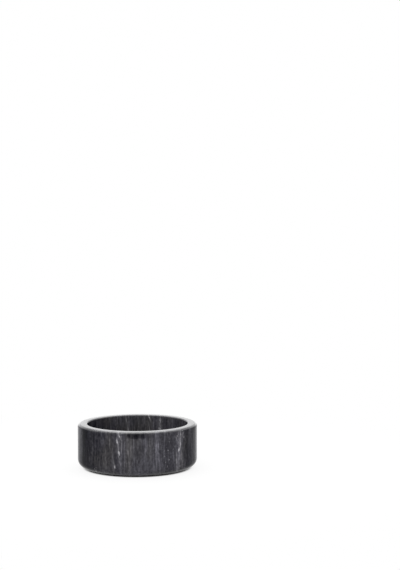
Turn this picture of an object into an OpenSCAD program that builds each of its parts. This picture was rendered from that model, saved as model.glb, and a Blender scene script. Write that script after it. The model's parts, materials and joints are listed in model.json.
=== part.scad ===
// Stone coaster: a turned marble cup on four self-adhesive grip pads.
// The origin is on the table, on the cup's axis, and +Z points up.

/* [Recess] */
// Diameter of the round base that the recess holds
held_d = 76.5; // [65:0.5:90]
// Gap between that base and the recess wall, on each side
held_gap = 1.75; // [1:0.25:4]
// Depth of the recess, from the top of the rim to its floor
recess_depth = 25.5; // [15:0.5:45]
// Radius of the hollow corner between the recess wall and its floor
corner_round = 3; // [1:0.5:6]

/* [Stone] */
// Thickness of the wall round the recess
wall_t = 7.5; // [5:0.5:14]
// Thickness of the stone under the recess
floor_t = 9; // [6:0.5:16]
// Radius of the rounded heel, where the wall meets the underside
heel_round = 6.5; // [1:0.5:9]
// Radius of the rounded outer edge of the rim
rim_round = 2.3; // [0.5:0.1:4]
// Radius of the rounded inner edge of the rim
lip_round = 0.9; // [0.3:0.1:1.5]

/* [Grip pads] */
// Diameter of a grip pad
pad_d = 12; // [8:0.5:16]
// Thickness of a grip pad
pad_t = 0.85; // [0.5:0.05:3]
// Radius of the rounded lower edge of a pad
pad_edge_round = 0.3; // [0.1:0.05:0.4]
// Bare underside left between a pad and the start of the heel
pad_margin = 3; // [1:0.5:6]
// Thickness of the adhesive between a pad and the stone
adhesive_t = 0.15; // [0.05:0.05:0.5]
// How far the adhesive stops short of the pad's edge
adhesive_inset = 0.4; // [0.1:0.1:1]

/* [Hidden] */
// Sides of a full circle
$fn = 180;
// How far a cut runs past the face that it starts from
overrun = 1;

// The rim's two roundings take up at most these shares of the wall
rim_max_share = 0.6;
lip_max_share = 0.3;

recess_r = held_d / 2 + held_gap;
cup_r = recess_r + wall_t;
stone_z = pad_t + adhesive_t;
stone_h = floor_t + recess_depth;
rim_r = min(rim_round, wall_t * rim_max_share);
lip_r = min(lip_round, wall_t * lip_max_share);
pad_r = pad_d / 2;
pad_circle_r = cup_r - heel_round - pad_margin - pad_r;

// Each pad's place, counted anticlockwise from the front right as seen from above
PAD_PLACES = ["front_right", "back_right", "back_left", "front_left"];
PAD_NODES = [for (place = PAD_PLACES) str("grip_pad_", place)];
ADHESIVE_NODES = [for (place = PAD_PLACES) str("pad_adhesive_", place)];

// Turn from one pad to the next, and of the first pad from +X
pad_step = 360 / len(PAD_PLACES);
first_pad_turn = -pad_step / 2;

// What a rounding takes off a square corner whose point is at the origin and whose solid lies below and left
module corner_waste(radius) {
    difference() {
        translate([-radius, -radius]) square(radius + overrun);
        translate([-radius, -radius]) circle(radius);
    }
}

// Half outline of the recess, open at the top
module recess_outline() {
    difference() {
        translate([0, floor_t]) square([recess_r, recess_depth + overrun]);
        translate([recess_r, floor_t]) mirror([0, 1]) corner_waste(corner_round);
    }
}

// Half outline of the stone, standing on its underside
module cup_outline() {
    difference() {
        square([cup_r, stone_h]);
        recess_outline();
        translate([cup_r, stone_h]) corner_waste(rim_r);
        translate([recess_r, stone_h]) mirror([1, 0]) corner_waste(lip_r);
        translate([cup_r, 0]) mirror([0, 1]) corner_waste(heel_round);
    }
}

// Half outline of a pad, standing on its rounded lower edge
module pad_outline() {
    difference() {
        square([pad_r, pad_t]);
        translate([pad_r, 0]) mirror([0, 1]) corner_waste(pad_edge_round);
    }
}

// Carries its children from the axis to a pad's place under the stone
module at_pad(index) {
    rotate([0, 0, first_pad_turn + index * pad_step]) translate([pad_circle_r, 0, 0]) children();
}

// The cup, turned from one block
module marble_cup() {
    color([0.23, 0.23, 0.24]) translate([0, 0, stone_z]) rotate_extrude() cup_outline();
}

// One die-cut rubber pad
module grip_pad(index) {
    color([0.07, 0.07, 0.07]) at_pad(index) rotate_extrude() pad_outline();
}

// The adhesive disc that holds one pad to the stone
module pad_adhesive(index) {
    color([0.86, 0.84, 0.76]) at_pad(index) translate([0, 0, pad_t])
        cylinder(h = adhesive_t, r = pad_r - adhesive_inset);
}

marble_cup();
for (i = [0 : len(PAD_PLACES) - 1]) {
    grip_pad(i);
    pad_adhesive(i);
}
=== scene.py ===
"""Looks of a stone coaster: a turned marble cup on four self-adhesive grip pads, in metres."""

import json
import math

import bmesh
import bpy
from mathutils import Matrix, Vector


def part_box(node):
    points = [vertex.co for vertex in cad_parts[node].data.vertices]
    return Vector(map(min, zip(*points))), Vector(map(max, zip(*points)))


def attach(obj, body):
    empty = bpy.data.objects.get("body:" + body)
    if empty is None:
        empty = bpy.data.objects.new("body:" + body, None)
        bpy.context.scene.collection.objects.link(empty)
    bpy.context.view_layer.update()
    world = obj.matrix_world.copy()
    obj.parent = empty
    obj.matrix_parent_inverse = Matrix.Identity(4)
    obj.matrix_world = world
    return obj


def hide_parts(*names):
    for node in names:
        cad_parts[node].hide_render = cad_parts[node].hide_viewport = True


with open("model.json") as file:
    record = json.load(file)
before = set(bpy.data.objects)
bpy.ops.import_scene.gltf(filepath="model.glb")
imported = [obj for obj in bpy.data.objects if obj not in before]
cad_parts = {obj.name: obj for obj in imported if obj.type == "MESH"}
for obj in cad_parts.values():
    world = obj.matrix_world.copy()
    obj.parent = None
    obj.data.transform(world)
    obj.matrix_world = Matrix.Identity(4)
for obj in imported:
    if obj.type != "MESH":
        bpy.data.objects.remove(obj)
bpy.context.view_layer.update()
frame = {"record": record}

MM = 0.001


def mm(*lengths):
    """Lengths in metres, from millimetres."""
    return tuple(length * MM for length in lengths)


# Sizes read from the frame
cup_low, cup_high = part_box("marble_cup")
CUP_R = cup_high[0]
CUP_BASE = cup_low[2]
CUP_TOP = cup_high[2]
MOUNTS = frame["record"]["mounts"]
BORE = next(mount for mount in MOUNTS if mount["kind"] == "bore")
SEAT = next(mount for mount in MOUNTS if mount["kind"] == "flat_face" and mount["axis"][2] > 0)
RECESS_R = BORE["dims"]["r_mm"] * MM
RECESS_FLOOR = SEAT["pos_m"][2]
PAD_PLACES = ("front_right", "back_right", "back_left", "front_left")

# Roundings of the turned pieces
HEEL_ROUND = 6.5 * MM
RIM_ROUND = 2.3 * MM
LIP_ROUND = 0.9 * MM
CORNER_ROUND = 3.0 * MM
PAD_EDGE_ROUND = 0.3 * MM

# Fineness of the turned meshes: steps round the axis, segments of a rounding, longest step on a straight
CUP_FINENESS = (320, 18, 3.0 * MM)
PAD_FINENESS = (96, 6, 1.5 * MM)
WELD = 0.001 * MM
SHARP_ANGLE = math.radians(40)

# View of the photograph: the rim's centre falls on this pixel of the picture
PICTURE = (400, 570)
RIM_PIXEL = (137.44, 422.62)
CAMERA_AWAY = 22.76 * CUP_R
CAMERA_RISE = math.radians(9.19)
LENS_MM = 85
SENSOR_MM = 36
CLIP_START = 0.01


class Finish:
    """A node tree, with one short call for each kind of node that the finishes use."""

    def __init__(self, owner, end="ShaderNodeOutputMaterial"):
        owner.use_nodes = True
        self.owner = owner
        self.tree = owner.node_tree
        self.tree.nodes.clear()
        self.output = self.add(end)

    def add(self, kind, inputs=(), **settings):
        """Adds a node, then sets or links its inputs, given by name or by number."""
        node = self.tree.nodes.new(kind)
        for key, value in settings.items():
            setattr(node, key, value)
        for key, value in dict(inputs).items():
            self.feed(node.inputs[key], value)
        return node

    def feed(self, socket, value):
        """Links a socket to another node's output, or sets it to a constant."""
        if isinstance(value, bpy.types.NodeSocket):
            self.tree.links.new(value, socket)
        else:
            socket.default_value = value

    def place(self):
        """A point's place on the object, in metres."""
        return self.add("ShaderNodeTexCoord").outputs["Object"]

    def stretch(self, place, size, start):
        """Coordinates in which a pattern of unit size gets the given size along each axis."""
        scale = [1 / length for length in size]
        inputs = {"Vector": place, "Scale": scale, "Location": (start, start, start)}
        return self.add("ShaderNodeMapping", inputs).outputs["Vector"]

    def noise(self, place, size, start, detail=2.0, rough=0.5, kind="Fac"):
        """Noise with grains of the given size along each axis."""
        inputs = {"Vector": self.stretch(place, size, start), "Scale": 1.0}
        inputs.update({"Detail": detail, "Roughness": rough})
        return self.add("ShaderNodeTexNoise", inputs).outputs[kind]

    def calc(self, operation, *values):
        """A sum, product or other step on single numbers."""
        return self.add("ShaderNodeMath", enumerate(values), operation=operation).outputs[0]

    def centred(self, noise):
        """A noise moved so that its middle is nought."""
        return self.calc("SUBTRACT", noise, 0.5)

    def steer(self, operation, *values):
        """A sum, product or other step on vectors."""
        return self.add("ShaderNodeVectorMath", enumerate(values), operation=operation).outputs[0]

    def length(self, vector):
        """How long a vector is."""
        return self.add("ShaderNodeVectorMath", {0: vector}, operation="LENGTH").outputs["Value"]

    def axes(self, vector):
        """The three numbers of a vector, by the names X, Y and Z."""
        return self.add("ShaderNodeSeparateXYZ", {0: vector}).outputs

    def bend(self, place, size, reach, start):
        """Pushes each point about, by up to half of reach along each axis."""
        wander = self.noise(place, size, start, kind="Color")
        centred = self.steer("SUBTRACT", wander, (0.5, 0.5, 0.5))
        return self.steer("MULTIPLY_ADD", centred, reach, place)

    def spread(self, value, low, high, to_low=0.0, to_high=1.0):
        """Eases from one number to another while value goes from low to high."""
        inputs = {"Value": value, "From Min": low, "From Max": high, "To Min": to_low, "To Max": to_high}
        return self.add("ShaderNodeMapRange", inputs, interpolation_type="SMOOTHSTEP").outputs["Result"]

    def ramp(self, value, stops, ease="LINEAR"):
        """Colours by value, from pairs of a value between 0 and 1 and a colour."""
        node = self.add("ShaderNodeValToRGB", {"Fac": value})
        node.color_ramp.interpolation = ease
        while len(node.color_ramp.elements) < len(stops):
            node.color_ramp.elements.new(1.0)
        for element, (position, colour) in zip(node.color_ramp.elements, stops):
            element.position = position
            element.color = (*colour, 1.0)
        return node.outputs["Color"]

    def blend(self, share, low, high, kind="MIX"):
        """Mixes a colour of the tree with another of its colours or with a constant one."""
        node = self.add("ShaderNodeMix", {0: share, 6: low}, data_type="RGBA", blend_type=kind)
        self.feed(node.inputs[7], high if isinstance(high, bpy.types.NodeSocket) else (*high, 1.0))
        return node.outputs[2]

    def bump(self, height, depth):
        """A normal from a height between 0 and 1, of the given depth in metres."""
        return self.add("ShaderNodeBump", {"Height": height, "Distance": depth}).outputs["Normal"]

    def surface(self, **inputs):
        """Ends the tree in a Principled shader."""
        named = {key.replace("_", " "): value for key, value in inputs.items()}
        return self.end_in(self.add("ShaderNodeBsdfPrincipled", named))

    def end_in(self, shader):
        """Ends the tree in a shader and hands back what it belongs to."""
        self.tree.links.new(shader.outputs[0], self.output.inputs["Surface"])
        return self.owner


def turned(name, corners, fineness, centre=(0.0, 0.0)):
    """A body of revolution from its half outline, whose corners run from axis to axis.

    Each corner has a radius, a height and a rounding."""
    steps, segments, flat_step = fineness
    shape = bmesh.new()
    points = [shape.verts.new((radius, 0.0, height)) for radius, height, rounding in corners]
    for start, end in zip(points, points[1:]):
        shape.edges.new((start, end))
    for point, (radius, height, rounding) in zip(points, corners):
        if rounding:
            bmesh.ops.bevel(
                shape, geom=[point], offset=rounding, offset_type="OFFSET", affect="VERTICES",
                segments=segments, profile=0.5, material=-1,
            )
    for edge in shape.edges[:]:
        cuts = int(edge.calc_length() / flat_step)
        if cuts:
            bmesh.ops.subdivide_edges(shape, edges=[edge], cuts=cuts)
    bmesh.ops.spin(
        shape, geom=shape.verts[:] + shape.edges[:], cent=(0, 0, 0), axis=(0, 0, 1),
        angle=math.tau, steps=steps, use_merge=True,
    )
    bmesh.ops.remove_doubles(shape, verts=shape.verts[:], dist=WELD)
    bmesh.ops.recalc_face_normals(shape, faces=shape.faces[:])
    bmesh.ops.translate(shape, verts=shape.verts[:], vec=(*centre, 0.0))
    for face in shape.faces:
        face.smooth = True
    for edge in shape.edges:
        edge.smooth = edge.calc_face_angle(0.0) < SHARP_ANGLE
    return placed(name, shape)


def placed(name, shape):
    """Makes a finished shape an object of the scene."""
    mesh = bpy.data.meshes.new(name)
    shape.to_mesh(mesh)
    shape.free()
    piece = bpy.data.objects.new(name, mesh)
    bpy.context.scene.collection.objects.link(piece)
    return piece


def dress(piece, node, material):
    """Gives a new piece its finish and puts it in the place of its CAD node."""
    piece.data.materials.append(material)
    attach(piece, "root")
    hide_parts(node)


# Stone colours, from the darkest ground to the whitest vein
INK = (0.0034, 0.0034, 0.0054)
CHARCOAL = (0.0160, 0.0160, 0.0190)
SLATE = (0.0500, 0.0494, 0.0516)
ASH = (0.0980, 0.0970, 0.1000)
PALE = (0.210, 0.208, 0.214)
CHALK = (0.562, 0.549, 0.576)
# Ground of the stone by tone, from 0 to 1
GROUND_STOPS = ((0.0, INK), (0.25, CHARCOAL), (0.5, SLATE), (0.75, ASH), (1.0, PALE))
# A noise is given by the size of its grains along each axis and by a start, which picks its pattern.
# Tints that drift through the ground, and how much cooler it is at the two sides
COOL = (0.985, 0.970, 1.10)
WARM = (1.02, 0.99, 1.01)
TINT_STOPS = ((0.40, COOL), (0.62, WARM))
TINT_DRIFT = dict(size=mm(12, 18, 30), start=61.0, detail=1.0)
COOL_SIDES = 0.20

# Layers of the stone: place across the cup, as a share of its radius, and tone from dark to light. The
# light stops at both ends, outside the dark bands near either side, are a painted sheen along the left
# and right sides of the wall, not lighter stone.
LAYERS_WITH_EDGE_SHEEN = (
    (-1.00, 0.62), (-0.98, 0.40), (-0.955, 0.26), (-0.93, 0.40), (-0.912, 0.42), (-0.895, 0.00),
    (-0.87, 0.00), (-0.85, 0.06), (-0.81, 0.20), (-0.75, 0.28), (-0.70, 0.35), (-0.57, 0.48),
    (-0.42, 0.51), (-0.29, 0.50), (-0.15, 0.64), (-0.02, 0.55), (0.11, 0.56), (0.24, 0.61),
    (0.37, 0.60), (0.51, 0.46), (0.62, 0.53), (0.70, 0.46), (0.77, 0.46), (0.81, 0.24),
    (0.85, 0.42), (0.885, 0.28), (0.91, 0.12), (0.94, 0.14), (0.962, 0.50), (0.98, 0.60), (1.00, 0.60),
)
# How the layers wander: in wide bends, then in fine ones
LAYER_BENDS = (
    dict(size=mm(26, 30, 36), reach=mm(2.4, 0, 0), start=3.0),
    dict(size=mm(4, 8, 14), reach=mm(0.7, 0, 0), start=7.0),
)
# Grains, from long streaks to flecks: their noise, the range of it that is spread, and weight in the tone
GRAINS = (
    (dict(size=mm(1.8, 8.0, 24.0), start=17.0, detail=1.5), (0.42, 0.72), 0.22),
    (dict(size=mm(0.8, 2.6, 9.0), start=23.0, detail=3.0), (0.40, 0.70), 0.18),
    (dict(size=mm(1.4, 1.5, 2.2), start=31.0, detail=4.0), (0.30, 0.70), 0.18),
)
# What is taken off the tone for the grains that are added to it
GRAIN_MEAN = 0.20

# Marks on the wall stand at a turn round it, in degrees from the front to the right.
# Their heights and sizes are in millimetres, and they go this deep into the stone.
MARK_DEPTH = 7.0
# Clouds of lighter or darker stone: turn, height, half width, half height, change of tone, firmness. The
# first two are not darker stone but a painted dark reflection on the wall just under the front rim.
CLOUDS_AND_PAINTED_REFLECTION = (
    (-0.4, 33.4, 9.0, 3.0, -0.22, 0.53),
    (0.3, 33.2, 17.0, 4.5, -0.19, 0.0),
    (-32.0, 33.0, 13.0, 5.0, -0.12, 0.0),
    (43.2, 22.0, 6.2, 18.0, 0.15, 0.0),
    (42.7, 28.8, 2.2, 4.6, 0.20, 0.0),
    (-18.2, 24.0, 2.6, 13.0, 0.10, 0.0),
    (-6.8, 22.0, 2.8, 8.0, 0.18, 0.0),
    (19.6, 24.0, 2.6, 9.0, 0.13, 0.0),
    (8.1, 14.0, 2.4, 16.0, 0.10, 0.0),
    (2.4, 5.0, 8.0, 7.5, 0.09, 0.0),
)
# How ragged the edges of the clouds are
RAGGED_EDGE = dict(size=mm(3.5, 3.5, 3.5), reach=mm(2.2, 2.2, 1.8), start=107.0)
# Patches frosted with fine crystals: turn, height, half width, half height, change of tone
FROSTS = (
    (44.0, 27.0, 8.0, 12.0, 0.80),
    (40.0, 10.0, 10.0, 12.0, 0.50),
    (22.0, 20.0, 16.0, 24.0, 0.36),
    (-18.0, 27.0, 5.0, 12.0, 0.36),
    (102.0, 18.0, 8.0, 18.0, 0.45),
    (-112.0, 18.0, 8.0, 18.0, 0.45),
    (165.0, 18.0, 14.0, 20.0, 0.40),
)
CRYSTALS = dict(size=mm(0.8, 0.8, 1.3), start=101.0)

# Upright veins: turn, lean, run aside towards the back, half width, top, foot, reach inwards, whiteness
VEINS = (
    (-18.0, 0.090, 0.30, 0.50, 30.0, 13.0, 99.0, 0.32),
    (-17.2, 0.487, 0.30, 0.60, 36.0, 29.5, 99.0, 0.95),
    (-15.3, 0.040, 0.30, 0.45, 30.0, 21.0, 99.0, 0.30),
    (-22.8, 0.040, -0.12, 0.40, 14.0, 2.0, 99.0, 0.20),
    (44.9, -0.030, -0.22, 0.55, 33.5, 21.0, 99.0, 0.72),
    (39.8, 0.030, -0.10, 0.80, 17.0, 4.0, 99.0, 0.28),
    (46.9, 0.050, -0.30, 0.70, 18.0, 6.0, 99.0, 0.26),
    (99.0, 0.200, -1.70, 0.75, 36.0, 12.0, 99.0, 0.36),
    (104.0, -0.150, -1.54, 0.60, 20.0, 2.0, 99.0, 0.28),
    (-112.0, -0.180, 1.80, 0.60, 33.0, 5.0, 6.0, 0.36),
    (-105.0, 0.160, 1.60, 0.50, 24.0, 12.0, 6.0, 0.24),
)
# Length over which a vein fades, to either side of each of its ends
VEIN_FADE = 4.0
# Faint halo round a vein: its width and whiteness as multiples of the vein's own
HALO_SPREAD = 3.5
HALO_SHARE = 0.20
# How the veins wander: finely all over, and in sways that grow towards the back
VEIN_BENDS = (
    dict(size=mm(4, 9, 5), reach=mm(1.6, 0, 0), start=53.0),
    dict(size=mm(1.1, 3, 1.6), reach=mm(0.7, 0, 1.0), start=59.0),
)
VEIN_SWAY = dict(size=mm(40, 24, 60), start=97.0)
SWAY_SHARE = 0.20
# How the veins swell and thin: a noise, its range, and the widths that it gives
SWELLING = dict(size=mm(3, 7, 5), start=47.0, detail=3.0)
SWELL_RANGE = (0.36, 0.64)
SWELL_WIDTHS = (0.15, 1.5)
# Knots and flecks of calcite: turn, height, half width, half height, lean, whiteness
KNOTS = (
    (-19.3, 28.2, 1.05, 2.8, -0.10, 0.90),
    (-17.3, 19.4, 1.00, 3.1, -0.28, 1.00),
    (-21.8, 8.6, 0.65, 2.4, -0.10, 0.75),
    (42.8, 19.8, 1.35, 2.6, 0.55, 1.00),
    (-45.0, 2.8, 1.5, 1.0, 0.00, 0.80),
    (40.6, 30.8, 0.85, 1.0, 0.00, 0.46),
    (41.9, 33.0, 0.70, 1.2, 0.20, 0.30),
    (47.4, 34.2, 0.80, 0.9, 0.00, 0.36),
    (48.5, 32.3, 0.65, 1.5, -0.15, 0.40),
    (49.4, 29.1, 0.95, 0.9, 0.00, 0.44),
    (99.0, 21.0, 0.80, 2.8, 0.10, 0.70),
    (-111.5, 16.0, 0.85, 3.0, -0.10, 0.75),
)
# How the knots crumble: a noise, its range, and the shares of calcite that it leaves
CRUMBS = dict(size=mm(0.9, 0.9, 1.3), start=71.0)
CRUMB_RANGE = (0.30, 0.55)
CRUMB_SHARES = (0.45, 1.0)
# Patches of fine branching veins: turn, height, half width, half height, whiteness
WEBS = (
    (44.0, 29.0, 7.0, 8.0, 0.22),
    (-17.1, 31.0, 3.5, 6.0, 0.28),
    (43.2, 10.0, 7.0, 9.0, 0.22),
    (168.0, 18.0, 6.0, 14.0, 0.24),
)
BRANCHES = dict(size=mm(3.2, 5, 6), start=83.0, detail=1.5)
BRANCH_WIDTH = 0.10
# Patches of small pale specks: turn, height, half width, half height, whiteness
SPECKS = (
    (31.0, 18.0, 9.3, 16.0, 0.60),
    (-42.4, 4.0, 8.0, 4.0, 0.60),
    (44.0, 31.0, 7.0, 7.0, 0.45),
    (-6.0, 3.5, 14.0, 4.0, 0.50),
    (130.0, 14.0, 10.0, 14.0, 0.45),
    (-150.0, 22.0, 9.0, 14.0, 0.45),
)
DOTS = dict(size=mm(1.5, 1.5, 2.0), start=89.0, detail=1.0)
DOT_RANGE = (0.64, 0.76)

# Surface of the stone: pores that vary its roughness, what the honed recess adds to it, and fine marks
PORES = dict(size=mm(2.4, 2.6, 3.2), start=31.0, detail=5.0, rough=0.65)
PORE_RANGE = (0.3, 0.7)
STONE_ROUGHNESS = (0.11, 0.18)
HONED_ROUGHNESS = 0.24
TURNING_MARKS = dict(size=mm(0.7, 0.7, 0.7), start=37.0, detail=1.0)
STONE_GRAIN = dict(size=mm(0.25, 0.25, 0.25), start=41.0)
STONE_BUMP = 0.01 * MM
WALL_GLOSS = 0.032
# Buffed rim: heights under its top at which the polish begins and is whole, and how far the top of the
# rim is lightened to a grey, partly as wear and partly as painted sheen
POLISH_FOOT = 1.35 * MM
POLISH_WHOLE = 0.70 * MM
POLISH_ROUGHNESS = 0.12
POLISH_IOR = 1.55
WORN_AND_SHEEN_GREY = (0.170, 0.169, 0.172)
RIM_WEAR_AND_SHEEN = 0.12
# Fainter polish under the heel: heights above its base at which it is whole and ends
HEEL_POLISH_WHOLE = 1.5 * MM
HEEL_POLISH_END = 4.5 * MM
HEEL_POLISH_SHARE = 0.25


def wall_point(turn):
    """Where the outside of the wall stands at a turn from the front: across and towards the back."""
    angle = math.radians(turn)
    return CUP_R * math.sin(angle), -CUP_R * math.cos(angle)


def wall_spot(stone, place, turn, height, half_width, half_height, lean=0.0, firm=0.0):
    """How near a point is to the middle of a spot on the wall: one there and nought at its edge.

    A firm spot is squarer, and whole over that share of its size."""
    inputs = {
        "Vector": place,
        "Location": (*wall_point(turn), height * MM),
        "Rotation": (0.0, lean, math.radians(turn)),
        "Scale": mm(half_width, MARK_DEPTH, half_height),
    }
    local = stone.add("ShaderNodeMapping", inputs, vector_type="TEXTURE").outputs["Vector"]
    if firm:
        local = stone.steer("MULTIPLY", local, local)
    return stone.spread(stone.length(local), firm, 1.0, 1.0, 0.0)


def ground_tone(stone, place, bent):
    """Tone of the stone without its veins: layers, streaks, flecks, clouds and frosted patches, with a
    painted sheen in the layers at the left and right sides and a painted dark reflection among the clouds
    under the front rim.
    """
    # The light ends of the layers are a painted sheen at the left and right sides.
    stops = [(0.5 + 0.5 * share, (tone, tone, tone)) for share, tone in LAYERS_WITH_EDGE_SHEEN]
    layer_place = stone.calc("MULTIPLY_ADD", stone.axes(bent)["X"], 0.5 / CUP_R, 0.5)
    tone = stone.calc("SUBTRACT", stone.ramp(layer_place, stops, "B_SPLINE"), GRAIN_MEAN)
    for pattern, shown, weight in GRAINS:
        grain = stone.spread(stone.noise(bent, **pattern), *shown)
        tone = stone.calc("MULTIPLY_ADD", grain, weight, tone)
    ragged = stone.bend(bent, **RAGGED_EDGE)
    # The first two clouds paint a dark reflection under the front rim; the rest are lighter or darker
    # stone.
    for turn, height, half_width, half_height, change, firm in CLOUDS_AND_PAINTED_REFLECTION:
        cloud_and_painted_reflection = wall_spot(stone, ragged, turn, height, half_width, half_height, firm=firm)
        tone = stone.calc("MULTIPLY_ADD", cloud_and_painted_reflection, change, tone)
    crystals = stone.centred(stone.noise(place, **CRYSTALS))
    for turn, height, half_width, half_height, change in FROSTS:
        patch = wall_spot(stone, place, turn, height, half_width, half_height)
        tone = stone.calc("MULTIPLY_ADD", stone.calc("MULTIPLY", patch, crystals), change, tone)
    return tone


def ground_colour(stone, place, bent):
    """Colour of the stone without its veins, slightly tinted."""
    colour = stone.ramp(ground_tone(stone, place, bent), GROUND_STOPS)
    aside = stone.calc("MULTIPLY", stone.axes(bent)["X"], 1 / CUP_R)
    aside = stone.calc("MULTIPLY", aside, aside)
    drift = stone.calc("MULTIPLY_ADD", aside, -COOL_SIDES, stone.noise(bent, **TINT_DRIFT))
    return stone.blend(1.0, colour, stone.ramp(drift, TINT_STOPS), "MULTIPLY")


def vein(stone, thread, swell, spec):
    """How much of one upright vein shows at a point: a core that swells and thins, in a faint halo."""
    turn, lean, run, half_width, top, foot, reach, whiteness = spec
    across, behind = wall_point(turn)
    middle = across + lean * (top + foot) / 2 * MM - run * behind
    line = stone.calc("MULTIPLY_ADD", thread["Z"], -lean, middle)
    line = stone.calc("MULTIPLY_ADD", thread["Y"], run, line)
    off = stone.calc("ABSOLUTE", stone.calc("SUBTRACT", thread["X"], line))
    core = stone.spread(stone.calc("DIVIDE", off, swell), 0.0, half_width * MM, whiteness, 0.0)
    halo = stone.spread(off, 0.0, HALO_SPREAD * half_width * MM, HALO_SHARE * whiteness, 0.0)
    below = stone.spread(thread["Z"], *mm(top - VEIN_FADE, top + VEIN_FADE), 1.0, 0.0)
    above = stone.spread(thread["Z"], *mm(foot - VEIN_FADE, foot + VEIN_FADE))
    inward = stone.calc("ABSOLUTE", stone.calc("SUBTRACT", thread["Y"], behind))
    within = stone.spread(inward, *mm(reach - VEIN_FADE, reach + VEIN_FADE), 1.0, 0.0)
    shown = stone.calc("MULTIPLY", stone.calc("MULTIPLY", below, above), within)
    return stone.calc("MULTIPLY", stone.calc("MAXIMUM", core, halo), shown)


def threads(stone, place):
    """The stone's place pushed about as its veins wander."""
    thread = place
    for bend in VEIN_BENDS:
        thread = stone.bend(thread, **bend)
    wander = stone.centred(stone.noise(place, **VEIN_SWAY))
    share = stone.calc("MULTIPLY", wander, SWAY_SHARE)
    sway = stone.calc("MULTIPLY", stone.calc("ADD", stone.axes(place)["Y"], CUP_R), share)
    return stone.steer("ADD", thread, stone.add("ShaderNodeCombineXYZ", {"X": sway}).outputs[0])


def vein_share(stone, place):
    """How much calcite shows at a point: veins, knots, patches of fine branching veins, and specks."""
    thread = threads(stone, place)
    swell = stone.spread(stone.noise(place, **SWELLING), *SWELL_RANGE, *SWELL_WIDTHS)
    white = 0.0
    for spec in VEINS:
        white = stone.calc("MAXIMUM", vein(stone, stone.axes(thread), swell, spec), white)
    crumble = stone.spread(stone.noise(place, **CRUMBS), *CRUMB_RANGE, *CRUMB_SHARES)
    for turn, height, half_width, half_height, lean, whiteness in KNOTS:
        knot = wall_spot(stone, thread, turn, height, half_width, half_height, lean)
        knot = stone.calc("MULTIPLY", stone.calc("MULTIPLY", knot, crumble), whiteness)
        white = stone.calc("MAXIMUM", knot, white)
    ridge = stone.calc("ABSOLUTE", stone.centred(stone.noise(thread, **BRANCHES)))
    web = stone.calc("MULTIPLY", stone.spread(ridge, 0.0, BRANCH_WIDTH, 1.0, 0.0), swell)
    speck = stone.spread(stone.noise(place, **DOTS), *DOT_RANGE)
    for pattern, patches in ((web, WEBS), (speck, SPECKS)):
        for turn, height, half_width, half_height, whiteness in patches:
            patch = wall_spot(stone, place, turn, height, half_width, half_height)
            patch = stone.calc("MULTIPLY", stone.calc("MULTIPLY", patch, pattern), whiteness)
            white = stone.calc("MAXIMUM", patch, white)
    return white


def stone_polish(stone, height):
    """How polished the stone is at a height: whole on the rim and faint under the heel."""
    rim = stone.spread(height, CUP_TOP - POLISH_FOOT, CUP_TOP - POLISH_WHOLE)
    heel_whole = CUP_BASE + HEEL_POLISH_WHOLE
    heel_end = CUP_BASE + HEEL_POLISH_END
    heel = stone.spread(height, heel_whole, heel_end, HEEL_POLISH_SHARE, 0.0)
    return stone.calc("MAXIMUM", rim, heel)


def streaked_marble():
    """Dark marble whose layers stand upright and run from front to back, with a few pale veins."""
    stone = Finish(bpy.data.materials.new("streaked_marble"))
    place = stone.place()
    bent = place
    for bend in LAYER_BENDS:
        bent = stone.bend(bent, **bend)
    colour = stone.blend(vein_share(stone, place), ground_colour(stone, place, bent), CHALK)
    axes = stone.axes(place)
    # The top of the rim, down its outer rounding, is lightened to a grey: partly wear, partly painted
    # sheen.
    rim_wear_and_sheen = stone.spread(axes["Z"], CUP_TOP - RIM_ROUND, CUP_TOP, 0.0, RIM_WEAR_AND_SHEEN)
    colour = stone.blend(rim_wear_and_sheen, colour, WORN_AND_SHEEN_GREY)

    from_axis = stone.length(stone.steer("MULTIPLY", place, (1.0, 1.0, 0.0)))
    honed = stone.spread(from_axis, RECESS_R, RECESS_R + LIP_ROUND, 1.0, 0.0)
    rough = stone.spread(stone.noise(place, **PORES), *PORE_RANGE, *STONE_ROUGHNESS)
    rough = stone.calc("MULTIPLY_ADD", honed, HONED_ROUGHNESS, rough)

    rings = stone.add("ShaderNodeCombineXYZ", {"X": from_axis, "Y": axes["Z"]}).outputs[0]
    turning = stone.calc("MULTIPLY", stone.noise(rings, **TURNING_MARKS), honed)
    grain = stone.noise(place, **STONE_GRAIN)
    normal = stone.bump(stone.calc("ADD", turning, grain), STONE_BUMP)
    return stone.surface(
        Base_Color=colour, Roughness=rough, Normal=normal, Specular_IOR_Level=WALL_GLOSS,
        Coat_Weight=stone_polish(stone, axes["Z"]), Coat_Roughness=POLISH_ROUGHNESS, Coat_IOR=POLISH_IOR,
    )


# Rubber: its grain, the dust on it, and the range of roughness that the grain gives
RUBBER_GRAIN = dict(size=mm(0.18, 0.18, 0.18), start=5.0, detail=3.0)
RUBBER_GRAIN_RANGE = (0.3, 0.7)
RUBBER_ROUGHNESS = (0.62, 0.82)
RUBBER_BUMP = 0.04 * MM
RUBBER_GLOSS = 0.4
RUBBER_DUST = dict(size=mm(2.2, 2.2, 2.2), start=9.0, detail=3.0)
RUBBER_STOPS = ((0.3, (0.014, 0.014, 0.015)), (0.75, (0.034, 0.033, 0.032)))

# Adhesive film: how its colour flows, and the flecks of air in it
FILM_FLOW = dict(size=mm(1.6, 1.6, 1.6), start=13.0, detail=3.0)
FILM_STOPS = ((0.3, (0.62, 0.57, 0.43)), (0.7, (0.76, 0.72, 0.58)))
FILM_FLECKS = dict(size=mm(0.35, 0.35, 0.35), start=19.0)
FILM_FLECK_RANGE = (0.35, 0.7)
FILM_ROUGHNESS = (0.28, 0.45)
FILM_BUMP = 0.02 * MM


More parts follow.
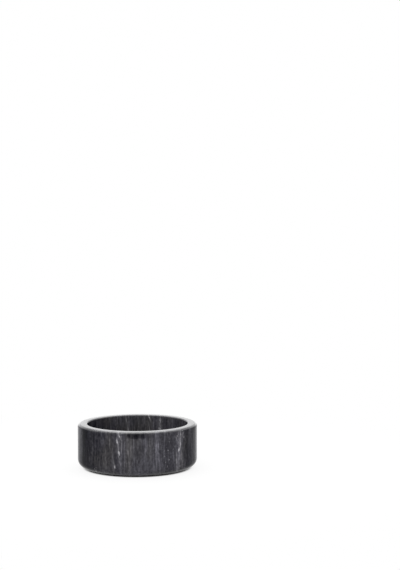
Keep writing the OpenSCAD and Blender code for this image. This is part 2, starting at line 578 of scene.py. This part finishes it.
def matte_rubber():
    """Dense black rubber with a fine grain."""
    rubber = Finish(bpy.data.materials.new("matte_rubber"))
    place = rubber.place()
    grain = rubber.noise(place, **RUBBER_GRAIN)
    colour = rubber.ramp(rubber.noise(place, **RUBBER_DUST), RUBBER_STOPS)
    rough = rubber.spread(grain, *RUBBER_GRAIN_RANGE, *RUBBER_ROUGHNESS)
    normal = rubber.bump(grain, RUBBER_BUMP)
    return rubber.surface(
        Base_Color=colour, Roughness=rough, Normal=normal, Specular_IOR_Level=RUBBER_GLOSS,
    )


def cream_adhesive():
    """A thin cream film with a few trapped flecks of air."""
    film = Finish(bpy.data.materials.new("cream_adhesive"))
    place = film.place()
    flecks = film.noise(place, **FILM_FLECKS)
    colour = film.ramp(film.noise(place, **FILM_FLOW), FILM_STOPS)
    rough = film.spread(flecks, *FILM_FLECK_RANGE, *FILM_ROUGHNESS)
    normal = film.bump(flecks, FILM_BUMP)
    return film.surface(Base_Color=colour, Roughness=rough, Normal=normal)


def build_cup():
    """The stone, with its roundings."""
    corners = (
        (0.0, CUP_BASE, 0.0),
        (CUP_R, CUP_BASE, HEEL_ROUND),
        (CUP_R, CUP_TOP, RIM_ROUND),
        (RECESS_R, CUP_TOP, LIP_ROUND),
        (RECESS_R, RECESS_FLOOR, CORNER_ROUND),
        (0.0, RECESS_FLOOR, 0.0),
    )
    cup = turned("coaster_cup", corners, CUP_FINENESS)
    dress(cup, "marble_cup", streaked_marble())


def disc(name, box, centre, edge_round=0.0):
    """A round disc as wide and high as a box, with its lower edge rounded where a rounding is given."""
    low, high = box
    radius = (high[0] - low[0]) / 2
    corners = (
        (0.0, low[2], 0.0),
        (radius, low[2], edge_round),
        (radius, high[2], 0.0),
        (0.0, high[2], 0.0),
    )
    return turned(name, corners, PAD_FINENESS, centre)


def build_pads():
    """The grip pads and the adhesive discs that hold them to the stone."""
    rubber = matte_rubber()
    film = cream_adhesive()
    for place in PAD_PLACES:
        low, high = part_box("grip_pad_" + place)
        centre = ((low[0] + high[0]) / 2, (low[1] + high[1]) / 2)
        pad = disc("rubber_pad_" + place, (low, high), centre, PAD_EDGE_ROUND)
        layer = disc("adhesive_disc_" + place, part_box("pad_adhesive_" + place), centre)
        dress(pad, "grip_pad_" + place, rubber)
        dress(layer, "pad_adhesive_" + place, film)


# Studio floor: half its side, its colour, and the share of it beside the cup that glows white by itself
FLOOR_HALF = 6.0
FLOOR_COLOUR = (0.86, 0.86, 0.86, 1.0)
FLOOR_GLOW_NEAR = 0.88
# Distances from the axis: where the dark gap under the heel ends, and where the floor turns plain white
GAP_EDGE = (CUP_R - 7 * MM, CUP_R - 3 * MM)
FLOOR_FADE = (2 * CUP_R, 6 * CUP_R)
# Light that the white surroundings give the object
AMBIENT = 0.38
# Soft boxes: place, aim, width and height, and radiance
CUP_AIM = (0.0, 0.0, 0.02)
SOFT_BOXES = {
    "overhead_box": ((0.0, 0.35, 1.05), (0.0, 0.1, 0.0), (1.0, 1.5), 2.6),
    "left_box": ((-1.0, -0.10, 0.62), CUP_AIM, (1.4, 0.95), 1.0),
    "right_box": ((1.0, -0.10, 0.62), CUP_AIM, (1.4, 0.95), 0.77),
    "front_box": ((-0.3, -1.5, 1.1), CUP_AIM, (1.6, 1.0), 1.5),
    "back_box": ((0.0, 2.0, 0.18), CUP_AIM, (2.4, 0.36), 0.27),
}


def background_share(finish):
    """One for rays that show the background or its mirror image, and nought for light on the object."""
    path = finish.add("ShaderNodeLightPath").outputs
    seen = finish.calc("MAXIMUM", path["Is Camera Ray"], path["Is Glossy Ray"])
    return finish.calc("MAXIMUM", seen, path["Is Transmission Ray"])


def white_floor():
    """Matte white that keeps a soft shadow near the object and glows plain white further out."""
    paint = Finish(bpy.data.materials.new("white_floor"))
    away = paint.length(paint.place())
    outside_gap = paint.spread(away, *GAP_EDGE)
    whiter = paint.spread(away, *FLOOR_FADE, FLOOR_GLOW_NEAR, 1.0)
    glow_share = paint.calc("MULTIPLY", outside_gap, whiter)
    share = paint.calc("MULTIPLY", background_share(paint), glow_share)
    matte = paint.add("ShaderNodeBsdfDiffuse", {"Color": FLOOR_COLOUR}).outputs[0]
    glow = paint.add("ShaderNodeEmission", {"Strength": 1.0}).outputs[0]
    return paint.end_in(paint.add("ShaderNodeMixShader", {0: share, 1: matte, 2: glow}))


def build_floor():
    """The white floor that the object stands on."""
    shape = bmesh.new()
    bmesh.ops.create_grid(shape, x_segments=1, y_segments=1, size=FLOOR_HALF)
    floor = placed("studio_floor", shape)
    floor.data.materials.append(white_floor())


def build_world():
    """White where the background shows, and dimmer as light on the object."""
    sky = Finish(bpy.data.worlds.new("white_studio"), "ShaderNodeOutputWorld")
    level = sky.spread(background_share(sky), 0.0, 1.0, AMBIENT, 1.0)
    inputs = {"Color": (1.0, 1.0, 1.0, 1.0), "Strength": level}
    bpy.context.scene.world = sky.end_in(sky.add("ShaderNodeBackground", inputs))


def soft_box(name, spot, aim, size, radiance):
    """A rectangular lamp that lights the object but does not show in the picture."""
    width, height = size
    light = bpy.data.lights.new(name, "AREA")
    light.shape = "RECTANGLE"
    light.size = width
    light.size_y = height
    light.energy = radiance * math.pi * width * height
    lamp = bpy.data.objects.new(name, light)
    lamp.location = spot
    lamp.rotation_mode = "QUATERNION"
    lamp.rotation_quaternion = (Vector(aim) - Vector(spot)).to_track_quat("-Z", "Y")
    lamp.visible_camera = False
    bpy.context.scene.collection.objects.link(lamp)


def build_lamps():
    """Wide soft boxes: overhead and behind, where the rim mirrors them, at each side and in front."""
    for name, spec in SOFT_BOXES.items():
        soft_box(name, *spec)


def build_camera():
    """A level camera at the photograph's angle, aimed so that the rim's centre falls on its pixel."""
    data = bpy.data.cameras.new("photo_camera")
    data.lens = LENS_MM
    data.sensor_width = SENSOR_MM
    data.clip_start = CLIP_START
    camera = bpy.data.objects.new("photo_camera", data)
    rim = Vector((0.0, 0.0, CUP_TOP))
    sight = Vector((0.0, math.cos(CAMERA_RISE), -math.sin(CAMERA_RISE)))
    camera.location = rim - CAMERA_AWAY * sight
    focal = LENS_MM / SENSOR_MM * PICTURE[1]
    across = (RIM_PIXEL[0] - PICTURE[0] / 2) / focal
    up = (PICTURE[1] / 2 - RIM_PIXEL[1]) / focal
    tip = math.asin(sight.z * math.hypot(across, up, 1.0) / math.hypot(up, 1.0)) - math.atan(up)
    turn = math.atan2(across, math.cos(tip) - up * math.sin(tip))
    camera.rotation_euler = (math.pi / 2 + tip, 0.0, turn)
    bpy.context.scene.collection.objects.link(camera)
    bpy.context.scene.camera = camera


build_cup()
build_pads()
build_floor()
build_world()
build_lamps()
build_camera()
bpy.context.scene.view_settings.view_transform = "Standard"
